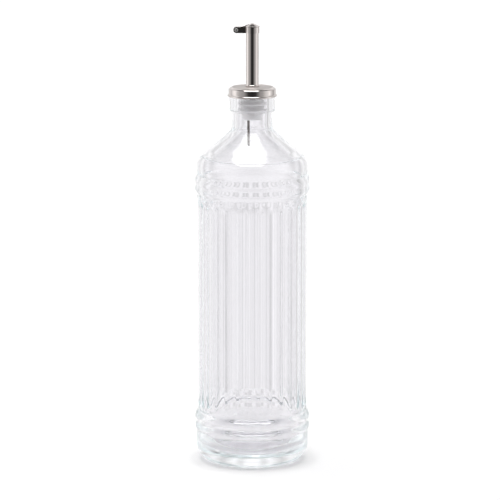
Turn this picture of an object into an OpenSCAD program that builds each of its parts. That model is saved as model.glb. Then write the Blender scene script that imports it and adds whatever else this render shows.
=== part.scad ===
// Glass oil bottle with a steel pourer and a hinged flap lid.
// Millimetres, +Z up. The origin is the centre of the foot's contact face.
// The flap hinge is on the -X side, oil leaves over the +X side.

/* [Body] */
// Radius of the plain base below the lower rings
base_r = 35.2; // [34.8:0.1:35.6]
// Radius of the fluted wall, measured on the ridges
body_r = 34.2; // [34:0.1:34.4]
// Radius of the plain band above the upper rings
band_r = 34.7; // [34.5:0.1:34.9]
// Thickness of the glass at the middle of the floor
floor_t = 5.4; // [4.9:0.5:6.9]
// Inner radius of the body
cavity_r = 30.8; // [30:0.1:31]
// Radius of the ring the bottle stands on
foot_r = 27.5; // [26.5:0.5:28.5]
// Radius of the rounded heel
heel_r = 11; // [10.5:0.5:12.5]
// Rise of the hollow under the base
punt_h = 2.4; // [1.5:0.1:3]

/* [Flutes] */
// Number of flutes round the body
flute_count = 28; // [24:1:30]
// Height of the lower ends of the flutes above the foot
flute_z0 = 35.4; // [34.8:0.2:36.8]
// Height of the upper ends of the flutes above the foot
flute_z1 = 165.8; // [160.8:0.5:165.8]
// Radius of each flute's hollow curve
flute_r = 10; // [9.6:0.1:10.4]
// Depth of each flute below the ridges
flute_depth = 0.8; // [0.65:0.05:0.85]
// Angle of the first flute from the pouring side
flute_phase = 1.83; // [0:0.01:12.8]
// Relief of the round bosses above the flutes
boss_relief = 0.55; // [0.3:0.05:0.7]

/* [Rings] */
// Greatest radius of the two lower rings
low_ring_r = 36.1; // [36:0.1:36.6]
// Height of the first lower ring
low_ring_z = 22.5; // [21.8:0.1:23.3]
// Greatest radius of the two upper rings
top_ring_r = 36; // [35.7:0.1:36.3]
// Height of the first upper ring
top_ring_z = 174.1; // [173.6:0.1:174.4]

/* [Neck] */
// Outer radius of the neck
neck_r = 12.35; // [12.1:0.05:12.6]
// Radius of the straight bore through neck and mouth
bore_r = 9.3; // [9.3:0.05:9.5]
// Radius of the finish ring round the mouth
finish_r = 14.1; // [13.8:0.05:14.1]
// Height of the lower edge of the finish ring
finish_z = 222.3; // [221.3:0.1:223.3]

/* [Pourer] */
// Outer radius of the steel cap's skirt
cap_r = 14.8; // [14.8:0.05:15.2]
// Thickness of the steel sheet
sheet_t = 0.4; // [0.35:0.05:0.4]
// Outer radius of the spout tube
tube_r = 4; // [3.95:0.05:4.05]
// Outer radius of the vent tube
vent_r = 0.8; // [0.75:0.05:0.85]
// Distance of the vent tube from the axis
vent_x = 2.4; // [2.35:0.05:2.45]
// Length of the vent tube below the stopper
vent_drop = 18.8; // [10:0.1:20]
// Radius of the sealing fins
fin_r = 9.22; // [9:0.01:9.25]

/* [Flap] */
// Distance of the hinge pin from the axis
pin_x = 9.9; // [9.6:0.1:10.4]
// Radius of the hinge pin
pin_r = 0.75; // [0.7:0.05:0.8]
// Width of the arm between the ears
arm_w = 1.6; // [1.4:0.1:1.7]
// Height of the lid's cone
cone_h = 1.85; // [1.5:0.05:2.2]

/* [Hidden] */
$fn = 96;
glass = [0.86, 0.89, 0.91, 0.35];
plastic = [0.85, 0.85, 0.85, 0.7];
steel = [0.62, 0.60, 0.59];
dark_steel = [0.40, 0.39, 0.39];

mouth_z = 234.4;          // top of the glass
plate_z = 237.5;          // top of the cap's plate
hem_z = 232.15;           // centre of the cap's rolled hem
hem_r = 0.62;             // radius of the rolled hem
tube_top = 274.9;         // mouth of the spout
stop_z = 217.2;           // bottom of the stopper's nose
ear_lo = 271.2;           // lower edge of the collar and ears
ear_hi = 274.9;           // upper edge of the collar and ears
pin_z = (ear_lo + ear_hi) / 2;
ear_gap = arm_w + 0.5;    // gap between the two ears
ear_t = 0.5;              // thickness of an ear
ring_curve = 5.1;         // radius of a ring's rounded section
ring_step = 5.9;          // distance between the two rings of a pair
top_step = 5.0;

// points along an arc, centre (x, z), radius r, from angle a to angle b
function arc(x, z, r, a, b, n = 8) =
    [for (i = [0 : n]) let (t = a + (b - a) * i / n) [x + r * cos(t), z + r * sin(t)]];
// points along a quarter ellipse from its lowest point to its outer side
function bowl(x, z, rx, rz, n = 10) =
    [for (i = [0 : n]) let (t = 90 * i / n) [x + rx * sin(t), z + rz * (1 - cos(t))]];
// angle, from the horizontal, at which a ring of radius c about (ring_r - c, z)
// meets the wall of radius w
function meet(ring_r, c, w) = acos((w - ring_r + c) / c);
// a pair of rings: arcs from the wall below, through the notch, to the wall above
function rings(z, peak, step, below, above) =
    let (c = ring_curve, x = peak - c, k = asin(step / 2 / c))
    concat(arc(x, z, c, -meet(peak, c, below), k, 8),
           arc(x, z + step, c, -k, meet(peak, c, above), 8));

// the heel's arc meets the standing ring at a corner: how far its centre lies
// inside that ring and above the foot
heel_in = foot_r - base_r + heel_r;
heel_z = sqrt(heel_r * heel_r - heel_in * heel_in);

// the glass outside, from the punt out to the foot and up to the mouth
function outer_line() = concat(
    [for (i = [0 : 6]) let (t = i / 6) [(foot_r - 5) * t, punt_h * (1 - t * t)]],
    [[foot_r - 4, 0]],
    arc(base_r - heel_r, heel_z, heel_r, -atan2(heel_z, heel_in), 0, 10),
    rings(low_ring_z, low_ring_r, ring_step, base_r, body_r),
    rings(top_ring_z, top_ring_r, top_step, body_r, band_r),
    [[band_r, 188.3]],
    arc(band_r - 7.2, 188.3, 7.2, 8, 52, 6),
    [[28.4, 197.8], [24.4, 200.6], [20.9, 203.3], [18.0, 205.9], [15.3, 208.5]],
    arc(neck_r + 6, 214, 6, 222, 180, 5),
    [[neck_r, finish_z - 0.9]],
    arc(neck_r + 0.5, finish_z - 0.5, 0.5, 180, 100, 3),
    arc(finish_r - 0.7, finish_z + 0.7, 0.7, -90, 0, 4),
    arc(finish_r - 1.3, mouth_z - 1.3, 1.3, 0, 90, 4),
    [[0, mouth_z]]);

// the hollow inside, from the floor to above the mouth
function inner_line() = concat(
    [[0, punt_h + floor_t + 0.5]],
    [[8, punt_h + floor_t + 0.3]],
    bowl(19, punt_h + floor_t, cavity_r - 19, 19, 10),
    [[cavity_r, 184.8]],
    arc(cavity_r - 6.2, 187.4, 6.2, 0, 54, 6),
    [[24.6, 195.2], [21.2, 197.8], [17.6, 200.8], [14.8, 203.5]],
    arc(bore_r + 7, 211.4, 7, 232, 180, 6),
    [[bore_r, mouth_z - 0.8], [bore_r + 0.5, mouth_z], [bore_r + 0.5, mouth_z + 1], [0, mouth_z + 1]]);

// one flute cutter: a long round-ended rod lying against the wall
module flute() {
    x = body_r - flute_depth + flute_r;
    reach = sqrt(pow(flute_r, 2) - pow(flute_r - flute_depth, 2));
    z0 = flute_z0 + reach;
    z1 = flute_z1 - reach;
    translate([x, 0, z0]) cylinder(r = flute_r, h = z1 - z0);
    translate([x, 0, z0]) sphere(r = flute_r);
    translate([x, 0, z1]) sphere(r = flute_r);
}

// one low round boss above a flute
module boss() {
    half = 2.6;
    r = (pow(half, 2) + pow(boss_relief, 2)) / (2 * boss_relief);
    translate([body_r - 0.25 + boss_relief - r, 0, 168.7]) sphere(r = r);
}

module bottle() color(glass)
    difference() {
        union() {
            difference() {
                rotate_extrude() polygon(outer_line());
                for (i = [0 : flute_count - 1])
                    rotate([0, 0, flute_phase + i * 360 / flute_count]) flute();
            }
            intersection() {
                for (i = [0 : flute_count - 1])
                    rotate([0, 0, flute_phase + i * 360 / flute_count]) boss();
                translate([0, 0, 160.8]) cylinder(r = body_r + 1, h = 16);
            }
        }
        rotate_extrude() polygon(inner_line());
    }

// plastic plug: nose, core, three fins, flange and the spout's socket
module stopper() color(plastic)
    difference() {
        union() {
            translate([0, 0, stop_z]) cylinder(r1 = 5.9, r2 = 6.3, h = 0.8);
            translate([0, 0, stop_z + 0.8]) cylinder(r = 6.3, h = 4);
            translate([0, 0, stop_z + 4.8]) cylinder(r = 7.3, h = mouth_z + 0.15 - stop_z - 4.8);
            for (i = [0 : 2])
                translate([0, 0, stop_z + 5.4 + i * 3.7]) {
                    cylinder(r1 = 7.3, r2 = fin_r, h = 0.9);
                    translate([0, 0, 0.9]) cylinder(r = fin_r, h = 0.7);
                }
            translate([0, 0, mouth_z + 0.15]) cylinder(r = 12.6, h = plate_z - sheet_t - mouth_z - 0.15);
        }
        // socket for the spout
        translate([0, 0, 226.8]) cylinder(r = tube_r + 0.02, h = 12);
        // oil channel
        translate([1.5, 0, stop_z - 1]) cylinder(r = 2.3, h = 12);
        translate([0, 0, 225.2]) cylinder(r1 = 3, r2 = tube_r - sheet_t, h = 1.61);
        // vent hole
        translate([-vent_x, 0, stop_z - 1]) cylinder(r = vent_r + 0.02, h = 12);
    }

// steel shroud: flat plate, rounded edge, skirt and rolled hem
module cap() color(steel)
    difference() {
        union() {
            rotate_extrude() polygon(concat(
                [[0, plate_z - sheet_t], [0, plate_z]],
                arc(cap_r - 1, plate_z - 1, 1, 90, 0, 6),
                [[cap_r, hem_z + 1.1], [cap_r + 0.3, hem_z + 0.3], [cap_r + 0.3, hem_z],
                 [cap_r - sheet_t + 0.3, hem_z], [cap_r - sheet_t, hem_z + 0.9]],
                arc(cap_r - 1, plate_z - 1, 1 - sheet_t, 0, 90, 6)));
            rotate_extrude() translate([cap_r + 0.1, hem_z]) circle(r = hem_r, $fn = 32);
        }
        translate([0, 0, plate_z - 2]) cylinder(r = tube_r + 0.02, h = 4);
    }

// pouring tube with a bead that rests on the cap
module spout_tube() color(steel)
    difference() {
        union() {
            translate([0, 0, 226.8]) cylinder(r = tube_r, h = tube_top - 226.8);
            translate([0, 0, plate_z + 0.7])
                rotate_extrude() translate([tube_r - 0.25, 0]) circle(r = 0.66, $fn = 32);
            translate([0, 0, plate_z]) cylinder(r = tube_r + 0.15, h = 0.6);
        }
        translate([0, 0, 225.8]) cylinder(r = tube_r - sheet_t, h = 51);
    }

// strap round the tube with two ears for the hinge
module hinge_collar() color(dark_steel)
    difference() {
        union() {
            translate([0, 0, ear_lo]) cylinder(r = tube_r + 0.42, h = ear_hi - ear_lo);
            for (s = [-1, 1]) translate([0, s * (ear_gap + ear_t) / 2, 0]) ear();
        }
        translate([0, 0, ear_lo - 1]) cylinder(r = tube_r + 0.02, h = 6);
        // the strap is open between its ears
        translate([-tube_r - 3, -ear_gap / 2, ear_lo - 1]) cube([6, ear_gap, 6]);
        translate([-pin_x, 0, pin_z]) rotate([90, 0, 0]) cylinder(r = pin_r + 0.02, h = 8, center = true);
    }

module ear() {
    h = ear_hi - ear_lo;
    rotate([90, 0, 0]) {
        translate([-pin_x, pin_z, 0]) cylinder(r = h / 2, h = ear_t, center = true);
        translate([-pin_x / 2 - 1.8, pin_z, 0]) cube([pin_x - 3.6, h, ear_t], center = true);
    }
}

// rivet with two low heads
module hinge_pin() color("silver")
    translate([-pin_x, 0, pin_z]) rotate([90, 0, 0]) {
        w = ear_gap / 2 + ear_t;
        cylinder(r = pin_r, h = 2 * w + 0.2, center = true);
        for (s = [0, 1]) mirror([0, 0, s]) {
            translate([0, 0, w]) cylinder(r = pin_r + 0.3, h = 0.18);
            translate([0, 0, w + 0.18]) cylinder(r1 = pin_r + 0.3, r2 = pin_r - 0.1, h = 0.22);
        }
    }

// conical lid, its arm and the knuckle on the pin
module flap_lid() color(steel)
    difference() {
        union() {
            difference() {
                union() {
                    translate([0, 0, tube_top + 0.15]) cylinder(r = 4.55, h = 0.4);
                    translate([0, 0, tube_top + 0.55]) cylinder(r1 = 4.3, r2 = 0.5, h = cone_h);
                }
                translate([0, 0, tube_top + 0.1]) cylinder(r1 = 3.9, r2 = 0.4, h = cone_h - 0.1);
            }
            translate([-pin_x, 0, pin_z]) rotate([90, 0, 0]) cylinder(r = 1.5, h = arm_w, center = true);
            rotate([90, 0, 0]) linear_extrude(arm_w, center = true) polygon([
                [-pin_x, pin_z + 1.5], [-pin_x + 1.9, ear_hi + 0.35], [-2.4, tube_top + 1.75],
                [-2.4, tube_top + 1.1], [-4.2, tube_top + 0.2], [-4.9, tube_top + 0.15],
                [-pin_x + 3, pin_z + 0.2], [-pin_x + 1.0, pin_z - 1.1]]);
        }
        translate([-pin_x, 0, pin_z]) rotate([90, 0, 0])
            cylinder(r = pin_r + 0.06, h = 4, center = true);
    }

// air tube with a bevelled lower tip
module vent_tube() color([0.42, 0.40, 0.38])
    translate([-vent_x, 0, 0])
    difference() {
        translate([0, 0, stop_z - vent_drop]) cylinder(r = vent_r, h = 266.8 - stop_z + vent_drop, $fn = 48);
        translate([0, 0, stop_z - vent_drop - 1]) cylinder(r = vent_r - 0.25, h = 90, $fn = 32);
        translate([0, 0, stop_z - vent_drop]) rotate([0, 62, 0]) translate([-5, -2, -4]) cube([10, 4, 4]);
    }

bottle();
stopper();
cap();
spout_tube();
hinge_collar();
hinge_pin();
flap_lid();
vent_tube();
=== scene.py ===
"""Looks for the glass oil bottle: smooth pressed glass, steel pourer, plastic stopper."""

import math

import bpy
import numpy as np
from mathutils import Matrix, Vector

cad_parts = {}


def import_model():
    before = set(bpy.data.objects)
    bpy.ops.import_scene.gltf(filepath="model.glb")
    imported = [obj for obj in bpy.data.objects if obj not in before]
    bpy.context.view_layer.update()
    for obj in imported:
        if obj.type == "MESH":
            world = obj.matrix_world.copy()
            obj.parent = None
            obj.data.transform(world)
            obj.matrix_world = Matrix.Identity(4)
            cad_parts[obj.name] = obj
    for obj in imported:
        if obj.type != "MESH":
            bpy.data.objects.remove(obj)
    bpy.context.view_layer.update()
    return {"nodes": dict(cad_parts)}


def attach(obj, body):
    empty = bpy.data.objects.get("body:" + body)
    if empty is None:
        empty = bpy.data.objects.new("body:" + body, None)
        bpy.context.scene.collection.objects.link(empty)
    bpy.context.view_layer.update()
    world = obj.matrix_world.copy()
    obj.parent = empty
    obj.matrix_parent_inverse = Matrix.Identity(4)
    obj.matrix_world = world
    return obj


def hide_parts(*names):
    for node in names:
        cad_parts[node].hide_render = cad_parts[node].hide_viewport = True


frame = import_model()
MM = 0.001
TOP = -0.00003          # the table top, a hair under the foot


# ------------------------------------------------------------------ camera
def camera():
    data = bpy.data.cameras.new("camera")
    data.sensor_width = 36
    data.lens = 251.3
    data.clip_start, data.clip_end = 0.05, 60
    cam = bpy.data.objects.new("camera", data)
    cam.location = (-0.00144, -2.154, 0.5338)
    cam.rotation_euler = (math.radians(90 - 10.512), 0, 0)
    bpy.context.scene.collection.objects.link(cam)
    bpy.context.scene.camera = cam


# ------------------------------------------------------------------ node helpers
class Tree:
    """A short way to write node trees."""

    def __init__(self, tree):
        self.t = tree
        self.t.nodes.clear()

    def node(self, kind, _props=None, **inputs):
        n = self.t.nodes.new(kind)
        for k, v in (_props or {}).items():
            setattr(n, k, v)
        for k, v in inputs.items():
            self.set(n, k, v)
        return n

    def set(self, n, key, v):
        sock = n.inputs[int(key[1:])] if key[0] == "i" and key[1:].isdigit() else n.inputs[key.replace("_", " ")]
        if isinstance(v, bpy.types.NodeSocket):
            self.t.links.new(v, sock)
        else:
            sock.default_value = v

    def math(self, op, a, b=None, c=None, clamp=False):
        n = self.node("ShaderNodeMath", {"operation": op, "use_clamp": clamp}, i0=a)
        if b is not None:
            self.set(n, "i1", b)
        if c is not None:
            self.set(n, "i2", c)
        return n.outputs[0]

    def ramp(self, fac, stops, mode="LINEAR"):
        n = self.node("ShaderNodeValToRGB", None, i0=fac)
        e = n.color_ramp.elements
        n.color_ramp.interpolation = mode
        while len(e) < len(stops):
            e.new(0.5)
        for el, (p, c) in zip(e, stops):
            el.position = p
        for el, (p, c) in zip(sorted(e, key=lambda x: x.position), stops):
            el.color = (c, c, c, 1) if isinstance(c, (int, float)) else (*c, 1)
        return n.outputs[0]

    def rng(self, v, a, b, c=0.0, d=1.0, smooth=False):
        n = self.node("ShaderNodeMapRange", {"interpolation_type": "SMOOTHSTEP" if smooth else "LINEAR"},
                      i0=v, i1=a, i2=b, i3=c, i4=d)
        return n.outputs[0]


def material(name):
    m = bpy.data.materials.new(name)
    m.use_nodes = True
    return m, Tree(m.node_tree)


# ------------------------------------------------------------------ studio
UP0, UP1, SOFT = 42, 54, 3.9


def world():
    """White sweep behind and below, pale panels at both sides, a large softbox overhead, a dark room in front."""
    w = bpy.data.worlds.new("studio")
    w.use_nodes = True
    bpy.context.scene.world = w
    t = Tree(w.node_tree)
    d = t.node("ShaderNodeTexCoord").outputs["Generated"]
    s = t.node("ShaderNodeSeparateXYZ", None, i0=d)
    x, y, z = s.outputs
    az = t.math("ARCTAN2", x, t.math("MULTIPLY", y, -1.0))            # 0 in front, + to the right
    a = t.math("DIVIDE", t.math("ADD", az, math.pi), 2 * math.pi)      # 0..1, front at 0.5

    def at(deg):
        return (deg + 180) / 360

    # the band near the horizon, from behind-left through the front to behind-right
    band = t.ramp(a, [(0.0, 1.18), (at(-176), 1.18), (at(-171), 0.82), (at(-166), 1.18), (at(-155), 0.72), (at(-145), 1.12), (at(-122), 0.8), (at(-108), 1.35), (at(-92), 1.5),
                      (at(-80), 0.92), (at(-66), 0.62), (at(-40), 0.46), (at(-29), 0.22), (at(-19), 0.05), (at(0), 0.03),
                      (at(17), 0.05), (at(27), 0.22), (at(38), 0.44), (at(52), 0.55), (at(68), 0.95), (at(84), 1.2), (at(92), 1.55),
                      (at(103), 1.1), (at(124), 0.55), (at(145), 1.12), (at(155), 0.72), (at(166), 1.18), (at(171), 0.82), (at(176), 1.18), (1.0, 1.18)])
    el = t.math("ARCSINE", z)
    # the room above: dark behind the sweep's upper edge and in front, greyer at the sides
    upper = t.ramp(a, [(0.0, 0.12), (at(-140), 0.12), (at(-100), 0.35), (at(-60), 0.35), (at(-25), 0.15), (at(25), 0.15),
                       (at(60), 0.35), (at(100), 0.35), (at(140), 0.12), (1.0, 0.12)])
    up = t.rng(el, math.radians(UP0), math.radians(UP1), smooth=True)
    mixed = t.node("ShaderNodeMix", {"data_type": "RGBA"})
    t.set(mixed, "i0", up)
    t.t.links.new(band, mixed.inputs[6])
    t.t.links.new(upper, mixed.inputs[7])
    room = mixed.outputs[2]
    # overhead softbox, in the plane z = 1
    zz = t.math("MAXIMUM", z, 0.001)
    gx, gy = t.math("DIVIDE", x, zz), t.math("DIVIDE", y, zz)
    inx = t.rng(t.math("ABSOLUTE", t.math("ADD", gx, 0.05)), 0.31, 0.39, 1.0, 0.0, smooth=True)
    iny = t.math("MULTIPLY", t.rng(gy, -0.52, -0.44, smooth=True), t.rng(gy, 0.40, 0.48, 1.0, 0.0, smooth=True))
    box = t.math("MULTIPLY", inx, iny)
    bg = t.node("ShaderNodeBackground", None, Color=room, Strength=1.0)
    soft = t.node("ShaderNodeBackground", None, Color=(1, 1, 1, 1), Strength=t.math("MULTIPLY", box, SOFT))
    add = t.node("ShaderNodeAddShader")
    t.t.links.new(bg.outputs[0], add.inputs[0])
    t.t.links.new(soft.outputs[0], add.inputs[1])
    out = t.node("ShaderNodeOutputWorld")
    t.t.links.new(add.outputs[0], out.inputs["Surface"])


def floor():
    """A white table top. Its outer part isn't seen in reflections, where the room round the table shows instead;
    behind the bottle it isn't seen through the glass either, where the white sweep with its soft folds shows."""
    m, t = material("floor_white")
    p = t.node("ShaderNodeBsdfDiffuse", None, Color=(0.9, 0.9, 0.9, 1))
    o = t.node("ShaderNodeOutputMaterial")
    t.t.links.new(p.outputs[0], o.inputs["Surface"])
    n = 96
    inner, outer = [], []
    for i in range(n):
        c, k = math.cos(2 * math.pi * i / n), math.sin(2 * math.pi * i / n)
        inner.append((0.16 * c, 0.16 * k, TOP))
        outer.append((2.4 * c, (6.0 if k > 0 else 1.9) * k, TOP))
    ring = [(i, n + i, n + (i + 1) % n, (i + 1) % n) for i in range(n)]
    for name, pts, faces in (("table", inner, [list(range(n))]), ("table_back", inner + outer, ring[:n // 2]),
                             ("table_front", inner + outer, ring[n // 2:])):
        me = bpy.data.meshes.new(name)
        me.from_pydata(pts, [], faces)
        ob = bpy.data.objects.new(name, me)
        bpy.context.scene.collection.objects.link(ob)
        me.materials.append(m)
        ob.visible_glossy = name == "table"
        ob.visible_transmission = name != "table_back"


# ------------------------------------------------------------------ glass shape
def arc(x, z, r, a, b, n=24):
    return [(x + r * math.cos(math.radians(a + (b - a) * i / n)), z + r * math.sin(math.radians(a + (b - a) * i / n)))
            for i in range(n + 1)]


def bowl(x, z, rx, rz, n=30):
    return [(x + rx * math.sin(math.pi / 2 * i / n), z + rz * (1 - math.cos(math.pi / 2 * i / n))) for i in range(n + 1)]


RING = 5.1
PUNT, FOOT_R, HEEL_R = 2.4, 27.5, 11.0
BASE_R, BODY_R, BAND_R = 35.2, 34.2, 34.7
NECK_R, BORE_R, FINISH_R = 12.35, 9.3, 14.1
FINISH_Z, MOUTH_Z = 222.3, 234.4


def meet(peak, wall):
    return math.degrees(math.acos((wall - peak + RING) / RING))


def rings(z, peak, step, below, above):
    x, k = peak - RING, math.degrees(math.asin(step / 2 / RING))
    return arc(x, z, RING, -meet(peak, below), k) + arc(x, z + step, RING, -k, meet(peak, above))


def outer_line():
    inside = FOOT_R - BASE_R + HEEL_R
    rise = math.sqrt(HEEL_R ** 2 - inside ** 2)
    return ([(22.5 * i / 12, PUNT * (1 - (i / 12) ** 2)) for i in range(13)] + [(23.5, 0.0)]
            + arc(BASE_R - HEEL_R, rise, HEEL_R, -math.degrees(math.atan2(rise, inside)), 0)
            + rings(22.5, 36.1, 5.9, BASE_R, BODY_R)
            + rings(174.1, 36.0, 5.0, BODY_R, BAND_R)
            + [(BAND_R, 188.3)] + arc(BAND_R - 7.2, 188.3, 7.2, 8, 52)
            + [(28.4, 197.8), (24.4, 200.6), (20.9, 203.3), (18.0, 205.9), (15.3, 208.5)]
            + arc(NECK_R + 6, 214.0, 6, 222, 180)
            + [(NECK_R, FINISH_Z - 0.9)] + arc(NECK_R + 0.5, FINISH_Z - 0.5, 0.5, 180, 100, 8)
            + arc(FINISH_R - 0.7, FINISH_Z + 0.7, 0.7, -90, 0, 10)
            + arc(FINISH_R - 1.3, MOUTH_Z - 1.3, 1.3, 0, 90, 12))


def inner_line():
    return ([(BORE_R + 0.9, MOUTH_Z)] + arc(BORE_R + 0.6, MOUTH_Z - 0.6, 0.6, 90, 180, 6)
            + arc(BORE_R + 7, 211.4, 7, 180, 232)
            + [(14.8, 203.5), (17.6, 200.8), (21.2, 197.8), (24.6, 195.2)]
            + arc(30.8 - 6.2, 187.4, 6.2, 54, 0) + [(30.8, 184.8)]
            + [(30.8, 28.0), (30.0, 21.0), (28.2, 14.5), (26.0, 10.8), (23.0, 8.6), (19, 7.8), (8, 8.0), (0, 8.2)])


def smooth_line(points, sigma):
    """Evenly spaced points along the line, softened by a bell curve sigma wide (a function of height)."""
    p = np.array(points, float)
    keep = np.r_[True, np.linalg.norm(np.diff(p, axis=0), axis=1) > 1e-6]
    p = p[keep]
    s = np.r_[0, np.cumsum(np.linalg.norm(np.diff(p, axis=0), axis=1))]
    ds = 0.1
    n = int(s[-1] / ds)
    g = np.linspace(0, s[-1], n + 1)
    q = np.c_[np.interp(g, s, p[:, 0]), np.interp(g, s, p[:, 1])]
    out = q.copy()
    half = 50
    for i in range(len(q)):
        sg = sigma(q[i, 1])
        m = min(half, i, len(q) - 1 - i)
        if m == 0:
            continue
        k = np.arange(-m, m + 1)
        w = np.exp(-0.5 * (k * ds / sg) ** 2)
        out[i] = (q[i - m:i + m + 1] * w[:, None]).sum(0) / w.sum()
    return out


def pick_rows(line, step, turn, extra=None):
    """Rows along the line: closer together where it bends."""
    d = np.diff(line, axis=0)
    ln = np.linalg.norm(d, axis=1)
    ang = np.unwrap(np.arctan2(d[:, 1], d[:, 0]))
    bend = np.abs(np.gradient(ang)) if len(ang) > 2 else np.zeros(len(ang))
    cost = ln / step + bend / math.radians(turn)
    if extra is not None:
        mid = (line[1:] + line[:-1]) / 2
        cost = cost + ln * np.array([extra(r, z) for r, z in mid])
    c = np.r_[0, np.cumsum(cost)]
    n = int(math.ceil(c[-1]))
    t = np.interp(np.linspace(0, c[-1], n + 1), c, np.arange(len(c)))
    return t


FLUTES, PHASE = 28, 1.83
FR, FD = 10.0, 0.8
FX = BODY_R - FD + FR
REACH = math.sqrt(FR ** 2 - (FR - FD) ** 2)
FZ0, FZ1 = 35.4 + REACH, 165.8 - REACH
RELIEF = 0.55
BR = (2.6 ** 2 + RELIEF ** 2) / (2 * RELIEF)
BX = BODY_R - 0.25 + RELIEF - BR


def smin(a, b, k):
    h = np.maximum(k - np.abs(a - b), 0) / k
    return np.minimum(a, b) - h * h * k / 4


def outer_radius(r, z, th):
    """Radius of the outer skin at height z and angle th (degrees), from the plain profile's radius r."""
    al = np.radians((th - PHASE + 180 / FLUTES) % (360 / FLUTES) - 180 / FLUTES)
    dz = np.maximum(np.maximum(FZ0 - z, z - FZ1), 0)
    q = FR ** 2 - (FX * np.sin(al)) ** 2 - dz ** 2
    cut = np.where(q > 0, FX * np.cos(al) - np.sqrt(np.maximum(q, 1e-9)), 99.0)
    on = (z > 30.8) & (z < 169.8)
    r1 = np.where(on, smin(r, cut, 0.45), r)
    q = BR ** 2 - (BX * np.sin(al)) ** 2 - (z - 168.7) ** 2
    lump = np.where(q > 0, BX * np.cos(al) + np.sqrt(np.maximum(q, 1e-9)), 0.0)
    on = (z > 163.8) & (z < 173.8)
    r2 = np.where(on, -smin(-r1, -lump, 0.35), r1)
    return r2


def wave(th, z, seed, n=10):
    """Slow unevenness of blown glass, in mm, about +-1 at most."""
    rng = np.random.RandomState(seed)
    t = np.radians(th)
    out = 0
    for _ in range(n):
        k = rng.randint(1, 9)
        f = rng.uniform(0.01, 0.055)
        a, b = rng.uniform(0, 2 * math.pi, 2)
        out = out + np.sin(k * t + a + 0.5 * np.sin(z * f + b)) * np.cos(2 * math.pi * f * z / 2 + b)
    return out / math.sqrt(n)


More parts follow.
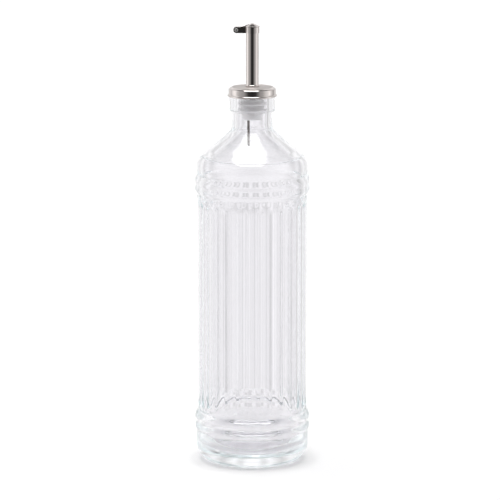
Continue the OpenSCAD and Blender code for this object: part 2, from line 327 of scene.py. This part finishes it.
def glass_mesh():
    out_l = smooth_line(outer_line(), lambda z: 0.7 if z < 195.8 else (1.1 if z < 214.5 else (0.5 if z < 216.8 else 0.22)))
    in_l = smooth_line(inner_line(), lambda z: 0.9 if z < 192 else (2.2 if z < 212 else (0.9 if z < 215.8 else 0.2)))
    out_l[0, 0] = 0
    in_l[-1, 0] = 0

    def dense(r, z):
        if 34.4 < z < 40.3 or 160.8 < z < 166:
            return 1 / 0.5
        if 166 <= z < 171.8:
            return 1 / 0.42
        return 0

    to = pick_rows(out_l, 4.0, 9.0, dense)
    ti = pick_rows(in_l, 3.5, 9.0)
    half = [0, 1.35, 2.6, 3.75, 4.75, 5.4, 5.85, 6.17]
    per = 360 / FLUTES
    fine = np.array(sorted((PHASE + i * per + s * h) % 360 for i in range(FLUTES)
                           for h, s in [(0, 1)] + [(h, 1) for h in half[1:]] + [(h, -1) for h in half[1:]] + [(per / 2, 1)]))
    coarse_i = np.arange(0, len(fine), 2)
    # start the list on a flute centre, so that every second column is the same set in each flute
    start = int(np.argmin(np.abs(fine - PHASE)))
    fine = np.roll(fine, -start)
    fine = np.where(fine < fine[0] - 1e-9, fine + 360, fine)
    coarse = fine[coarse_i]

    def p_out(t, th):
        i = np.arange(len(out_l))
        r, z = np.interp(t, i, out_l[:, 0]), np.interp(t, i, out_l[:, 1])
        rr = outer_radius(r, z, th)
        w = (wave(th, z, 5) - 3.2) * 0.008
        rr = rr + w * np.clip((z - 1) / 10, 0, 1) * np.clip((230 - z) / 10, 0, 1) * np.clip(r / 20, 0, 1)
        a = np.radians(th)
        return np.stack([rr * np.cos(a), rr * np.sin(a), z + 0 * a], -1)

    def p_in(t, th):
        i = np.arange(len(in_l))
        r, z = np.interp(t, i, in_l[:, 0]), np.interp(t, i, in_l[:, 1])
        fade = np.clip(r / 12, 0, 1) * np.clip((208.8 - z) / 12, 0, 1)
        rr = r + wave(th, z, 11) * 0.03 * fade
        a = np.radians(th)
        return np.stack([rr * np.cos(a), rr * np.sin(a), z + 0 * a], -1)

    def normals(fn, t, th):
        e = 1e-3
        du = fn(t + 2.0, th) - fn(t - 2.0, th)
        dv = fn(t, th + 0.05) - fn(t, th - 0.05)
        n = np.cross(dv, du)
        return n / np.maximum(np.linalg.norm(n, axis=-1, keepdims=True), 1e-12)

    verts, norms, faces, rows = [], [], [], []

    def add_row(fn, t, th, flip=1):
        base = len(verts)
        p = fn(np.full(len(th), t), th)
        n = normals(fn, np.full(len(th), t), th)
        verts.extend(p.tolist())
        norms.extend(n.tolist())
        rows.append((base, len(th)))

    # pole under the bottle
    verts.append([0, 0, float(out_l[0, 1])])
    norms.append([0, 0, -1])
    for t in to[1:]:
        z = float(np.interp(t, np.arange(len(out_l)), out_l[:, 1]))
        add_row(p_out, t, fine if 32.3 < z < 173 else coarse)
    n_out = len(rows)
    for t in ti[1:-1]:
        add_row(p_in, t, coarse)
    verts.append([0, 0, float(in_l[-1, 1])])
    norms.append([0, 0, 1])
    last = len(verts) - 1
    b0, n0 = rows[0]
    for j in range(n0):
        faces.append((0, b0 + (j + 1) % n0, b0 + j))
    for (ba, na), (bb, nb) in zip(rows, rows[1:]):
        if na == nb:
            for j in range(na):
                k = (j + 1) % na
                faces.append((ba + j, ba + k, bb + k, bb + j))
        elif na < nb:
            for j in range(na):
                k = (j + 1) % na
                m, e = 2 * j + 1, (2 * j + 2) % nb
                faces.append((ba + j, bb + m, bb + 2 * j))
                faces.append((ba + j, ba + k, bb + m))
                faces.append((ba + k, bb + e, bb + m))
        else:
            for j in range(nb):
                k = (j + 1) % nb
                m, e = 2 * j + 1, (2 * j + 2) % na
                faces.append((ba + 2 * j, ba + m, bb + j))
                faces.append((ba + m, bb + k, bb + j))
                faces.append((ba + m, ba + e, bb + k))
    bl, nl = rows[-1]
    for j in range(nl):
        faces.append((last, bl + j, bl + (j + 1) % nl))
    v = np.array(verts) * MM
    me = bpy.data.meshes.new("bottle_glass")
    me.from_pydata(v.tolist(), [], faces)
    me.update()
    me.polygons.foreach_set("use_smooth", [True] * len(me.polygons))
    me.normals_split_custom_set_from_vertices(norms)
    me.update()
    ob = bpy.data.objects.new("bottle_glass", me)
    bpy.context.scene.collection.objects.link(ob)
    print("glass:", len(v), "points,", sum(len(f) - 2 for f in faces), "triangles")
    return ob


# ------------------------------------------------------------------ metal and plastic shapes
def fillet(points, radius=0.12, n=4, closed=True):
    """Round the corners of a line of (x, z) points; a third number on a point is its own radius."""
    out = []
    m = len(points)
    for i, p in enumerate(points):
        if not closed and i in (0, m - 1):
            out.append((p[0], p[1]))
            continue
        r = p[2] if len(p) > 2 else radius
        b = np.array(p[:2], float)
        a, c = np.array(points[i - 1][:2], float), np.array(points[(i + 1) % m][:2], float)
        u, v = a - b, c - b
        lu, lv = np.linalg.norm(u), np.linalg.norm(v)
        u, v = u / lu, v / lv
        half = math.acos(max(-1.0, min(1.0, float(u @ v)))) / 2
        if r <= 0 or half > math.radians(87.5):
            out.append((float(b[0]), float(b[1])))
            continue
        t = min(r / math.tan(half), 0.45 * lu, 0.45 * lv)
        p0, p1 = b + u * t, b + v * t
        for k in range(n + 1):
            f = k / n
            q = (1 - f) ** 2 * p0 + 2 * f * (1 - f) * b + f * f * p1
            out.append((float(q[0]), float(q[1])))
    return out


def mesh_piece(name, verts, faces):
    me = bpy.data.meshes.new(name)
    me.from_pydata((np.array(verts) * MM).tolist(), [], faces)
    me.update()
    me.polygons.foreach_set("use_smooth", [True] * len(me.polygons))
    me.update()
    ob = bpy.data.objects.new(name, me)
    bpy.context.scene.collection.objects.link(ob)
    return ob


def lathe(loop, n=128, place=None):
    """Turn a closed loop of (r, z) about the axis. Points at r = 0 become poles."""
    verts, faces, rows = [], [], []
    for r, z in loop:
        if r < 1e-6:
            rows.append((len(verts), 1))
            verts.append((0, 0, z))
        else:
            rows.append((len(verts), n))
            verts += [(r * math.cos(2 * math.pi * j / n), r * math.sin(2 * math.pi * j / n), z) for j in range(n)]
    m = len(loop)
    for i in range(m):
        (a, na), (b, nb) = rows[i], rows[(i + 1) % m]
        for j in range(n):
            k = (j + 1) % n
            if na == 1 and nb == 1:
                break
            if na == 1:
                faces.append((a, b + k, b + j))
            elif nb == 1:
                faces.append((a + j, a + k, b))
            else:
                faces.append((a + j, a + k, b + k, b + j))
    if place:
        verts = [place(v) for v in verts]
    return verts, faces


def slab(line, width, edge=0.08):
    """A closed (x, z) outline given a width along y, its rims chamfered."""
    m = len(line)
    p = np.array(line, float)
    q = []
    for i in range(m):
        a, b, c = p[i - 1], p[i], p[(i + 1) % m]
        t = (c - a) / max(np.linalg.norm(c - a), 1e-9)
        q.append(b + edge * np.array([-t[1], t[0]]))
    q = np.array(q)
    area = 0.5 * sum(p[i - 1][0] * p[i][1] - p[i][0] * p[i - 1][1] for i in range(m))
    if area < 0:
        q = 2 * p - q
    rows = [(q, -width / 2), (p, -width / 2 + edge), (p, width / 2 - edge), (q, width / 2)]
    verts = [(float(x), y, float(z)) for pts, y in rows for x, z in pts]
    faces = [tuple(range(m)), tuple(3 * m + i for i in reversed(range(m)))]
    for k in range(3):
        for i in range(m):
            j = (i + 1) % m
            faces.append((k * m + i, (k + 1) * m + i, (k + 1) * m + j, k * m + j))
    return verts, faces


def merge(*parts):
    verts, faces = [], []
    for v, f in parts:
        o = len(verts)
        verts += list(v)
        faces += [tuple(i + o for i in face) for face in f]
    return verts, faces


def tidy(ob, angle=38):
    """Make the faces look outward and keep the crisp edges crisp."""
    import bmesh
    bm = bmesh.new()
    bm.from_mesh(ob.data)
    bmesh.ops.recalc_face_normals(bm, faces=bm.faces)
    for e in bm.edges:
        if len(e.link_faces) == 2 and e.calc_face_angle(0) > math.radians(angle):
            e.smooth = False
    bm.to_mesh(ob.data)
    bm.free()
    return ob


PLATE_Z, HEM_Z, TUBE_TOP = 237.5, 232.15, 274.9
PIN_X, PIN_Z = 9.9, 273.05


def cap_mesh():
    loop = ([(4.04, 237.12), (4.04, 237.5), (9.0, 237.5), (11.0, 237.49), (12.3, 237.44, 1.0), (12.95, 237.36, 0.5),
             (14.1, 236.85, 0.3), (14.62, 236.35, 0.4), (14.8, 235.7, 0.6), (14.8, 233.35, 0.5), (15.02, 232.85, 0.25)])
    loop = fillet(loop, 0.06, 4, closed=False)
    loop += [(14.9 + 0.62 * math.cos(math.radians(a)), HEM_Z + 0.62 * math.sin(math.radians(a))) for a in range(55, -196, -10)]
    loop += [(14.42, 233.0), (14.42, 235.4), (14.3, 236.05), (13.9, 236.55), (13.3, 236.86), (12.6, 237.11)]
    return tidy(mesh_piece("cap_steel", *lathe(loop, 160)))


def spout_mesh():
    loop = fillet([(4.0, 226.8), (4.0, 237.5), (4.15, 237.5), (4.15, 237.72)], 0.05, 3, closed=False)
    loop += [(3.75 + 0.66 * math.cos(math.radians(a)), 238.2 + 0.66 * math.sin(math.radians(a))) for a in range(-44, 66, 8)]
    loop += fillet([(4.0, 238.86), (4.0, TUBE_TOP, 0.18), (3.6, TUBE_TOP, 0.18), (3.6, 238.0), (3.6, 226.8)], 0.0, 5, closed=False)
    return tidy(mesh_piece("spout_steel", *lathe(loop, 128)))


def lid_mesh():
    top = [(4.55, 275.45), (4.36, 275.5, 0.1)]
    steps = 14
    for i in range(1, steps + 1):
        f = i / steps
        top.append((4.3 * (1 - f), 275.5 + 1.8 * (f + 0.30 * f * (1 - f)), 0))
    top[-1] = (0.0, 277.27, 0)
    top[-2] = (0.32, 277.22, 0)
    under = [(0.0, 276.62, 0), (1.2, 276.2, 0), (2.6, 275.62, 0), (3.85, 275.1, 0.1)]
    loop = fillet([(4.55, 275.05, 0.12), (4.55, 275.45, 0.16)] + top[1:] + under, 0.0, 5)
    arm = fillet([(-10.3, 274.48, 0.3), (-8.6, 274.55, 0.8), (-7.2, 275.2, 0.8), (-4.7, 275.68, 0.6), (-2.3, 276.72, 0.1),
                  (-2.3, 276.22, 0.1), (-4.3, 275.12, 0.5), (-6.9, 274.62, 0.6), (-8.0, 273.95, 0.5), (-8.75, 273.0, 0.2),
                  (-9.3, 273.9, 0.2)], 0.1, 4)
    ring = fillet([(1.5, -0.8, 0.1), (1.5, 0.8, 0.1), (0.81, 0.8, 0.06), (0.81, -0.8, 0.06)], 0.1, 4)
    eye = lathe(ring, 64, lambda v: (-PIN_X + v[0], v[2], PIN_Z + v[1]))
    return tidy(mesh_piece("lid_steel", *merge(lathe(loop, 128), slab(arm, 1.6), eye)))


def pin_mesh():
    w = 1.55
    half = [(0.75, 0.0, 0), (0.75, w - 0.02, 0), (1.05, w, 0.03)]
    half += [(1.05 * math.cos(math.radians(a)), w + 0.04 + 0.36 * math.sin(math.radians(a)), 0) for a in (0, 15, 30, 45, 60, 75)]
    half += [(0.0, w + 0.4, 0)]
    loop = half + [(r, -z, 0) for r, z, _ in reversed(half[1:])]
    loop = [(q[0], q[1]) for q in loop]
    return tidy(mesh_piece("pin_steel", *lathe(loop, 64, lambda v: (-PIN_X + v[0], v[2], PIN_Z + v[1]))))


# ------------------------------------------------------------------ materials
def glass_material():
    m, t = material("clear_glass")
    co = t.node("ShaderNodeTexCoord").outputs["Object"]
    noise = t.node("ShaderNodeTexNoise", None, Vector=co, Scale=60.0, Detail=2.0, Roughness=0.4)
    bump = t.node("ShaderNodeBump", None, Strength=0.03, Distance=0.0003, Height=noise.outputs[0])
    # Base Color greys the glass with a faint lavender cast: painted shade, darkening everything seen through it to the
    # light grey the bottle shows. The teal of the absorption below is the glass's own tint.
    p = t.node("ShaderNodeBsdfPrincipled", None, Base_Color=(0.893, 0.886, 0.903, 1), Roughness=0.0, IOR=1.51, Normal=bump.outputs[0])
    p.inputs["Transmission Weight"].default_value = 1.0
    ab = t.node("ShaderNodeVolumeAbsorption", None, Color=(0.86, 0.95, 0.955, 1), Density=4.0)
    o = t.node("ShaderNodeOutputMaterial")
    t.t.links.new(p.outputs[0], o.inputs["Surface"])
    t.t.links.new(ab.outputs[0], o.inputs["Volume"])
    return m


SPUN_ROUGH, SPUN_TURN = 0.5, 0.25


def steel_material(name, rough=0.07, tint=(0.635, 0.59, 0.57), lines=(900, 900, 12), depth=0.03, spun_above=None):
    """Polished stainless steel with fine draw lines. Above the height spun_above (metres) it keeps the round
    tool marks of spinning, which stretch its reflections across the marks."""
    m, t = material(name)
    co = t.node("ShaderNodeTexCoord").outputs["Object"]
    mp = t.node("ShaderNodeMapping", None, Vector=co, Scale=lines)
    noise = t.node("ShaderNodeTexNoise", None, Vector=mp.outputs[0], Scale=1.0, Detail=3.0, Roughness=0.6)
    cloud = t.node("ShaderNodeTexNoise", None, Vector=co, Scale=140.0, Detail=3.0)
    col = t.ramp(noise.outputs[0], [(0.3, tuple(0.93 * c for c in tint)), (0.7, tint)])
    r = t.math("ADD", t.rng(noise.outputs[0], 0.3, 0.7, rough * 0.8, rough * 1.2),
               t.rng(cloud.outputs[0], 0.35, 0.7, 0.0, rough * 0.35))
    bump = t.node("ShaderNodeBump", None, Strength=depth, Distance=0.00005, Height=noise.outputs[0])
    p = t.node("ShaderNodeBsdfPrincipled", None, Base_Color=col, Metallic=1.0, Roughness=r, Normal=bump.outputs[0])
    if spun_above is not None:
        z = t.node("ShaderNodeSeparateXYZ", None, i0=co).outputs[2]
        top = t.rng(z, spun_above, spun_above + 0.00012, smooth=True)
        t.set(p, "Roughness", t.math("ADD", r, t.math("MULTIPLY", top, SPUN_ROUGH)))
        t.set(p, "Anisotropic", t.math("MULTIPLY", top, 0.9))
        p.inputs["Anisotropic Rotation"].default_value = SPUN_TURN
        ring = t.node("ShaderNodeTangent", {"direction_type": "RADIAL", "axis": "Z"})
        t.set(p, "Tangent", ring.outputs[0])
    o = t.node("ShaderNodeOutputMaterial")
    t.t.links.new(p.outputs[0], o.inputs["Surface"])
    return m


def plastic_material():
    """Milky soft polyethylene."""
    m, t = material("milky_plastic")
    co = t.node("ShaderNodeTexCoord").outputs["Object"]
    noise = t.node("ShaderNodeTexNoise", None, Vector=co, Scale=400.0, Detail=3.0)
    cloud = t.node("ShaderNodeTexNoise", None, Vector=co, Scale=90.0, Detail=2.0)
    col = t.ramp(cloud.outputs[0], [(0.3, (0.90, 0.885, 0.88)), (0.7, (0.95, 0.94, 0.935))])
    r = t.rng(noise.outputs[0], 0.3, 0.7, 0.28, 0.42)
    bump = t.node("ShaderNodeBump", None, Strength=0.1, Distance=0.0001, Height=noise.outputs[0])
    p = t.node("ShaderNodeBsdfPrincipled", None, Base_Color=col, Roughness=r, IOR=1.5, Normal=bump.outputs[0])
    p.inputs["Subsurface Weight"].default_value = 1.0
    p.inputs["Subsurface Radius"].default_value = (1, 1, 1)
    p.inputs["Subsurface Scale"].default_value = 0.004
    o = t.node("ShaderNodeOutputMaterial")
    t.t.links.new(p.outputs[0], o.inputs["Surface"])
    return m


def dress(ob, mat):
    ob.data.materials.clear()
    ob.data.materials.append(mat)
    for p in ob.data.polygons:
        p.material_index = 0


# ------------------------------------------------------------------ scene
camera()
world()
floor()

sc = bpy.context.scene
sc.view_settings.view_transform = "Standard"
sc.view_settings.look = "None"
sc.view_settings.exposure = 0
sc.cycles.max_bounces = 96
sc.cycles.transmission_bounces = 96
sc.cycles.glossy_bounces = 96
sc.cycles.diffuse_bounces = 3
sc.cycles.transparent_max_bounces = 24
sc.cycles.caustics_reflective = True
sc.cycles.caustics_refractive = True
sc.cycles.blur_glossy = 0.0

glass = glass_mesh()
dress(glass, glass_material())
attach(glass, "bottle_body")
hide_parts("bottle")

N = frame["nodes"]
for piece, node, body, slot, look in (
        (spout_mesh(), "spout_tube", "pourer", "polished_steel", steel_material("tube_steel", rough=0.06)),
        (cap_mesh(), "cap", "pourer", "polished_steel", steel_material("spun_steel", rough=0.07, lines=(60, 60, 900), spun_above=0.2373)),
        (lid_mesh(), "flap_lid", "flap", "collar_steel", steel_material("lid_steel", rough=0.1)),
        (pin_mesh(), "hinge_pin", "pourer", "pin_steel", steel_material("pin_steel", rough=0.3, tint=(0.82, 0.81, 0.80)))):
    dress(piece, look)
    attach(piece, body)
    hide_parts(node)
dress(N["hinge_collar"], steel_material("collar_steel", rough=0.08))
# The vent tube's steel is tinted near black: painted shade, standing in for how dark the tube shows inside the neck.
dress(N["vent_tube"], steel_material("vent_steel", rough=0.16, tint=(0.19, 0.17, 0.16)))
dress(N["stopper"], plastic_material())
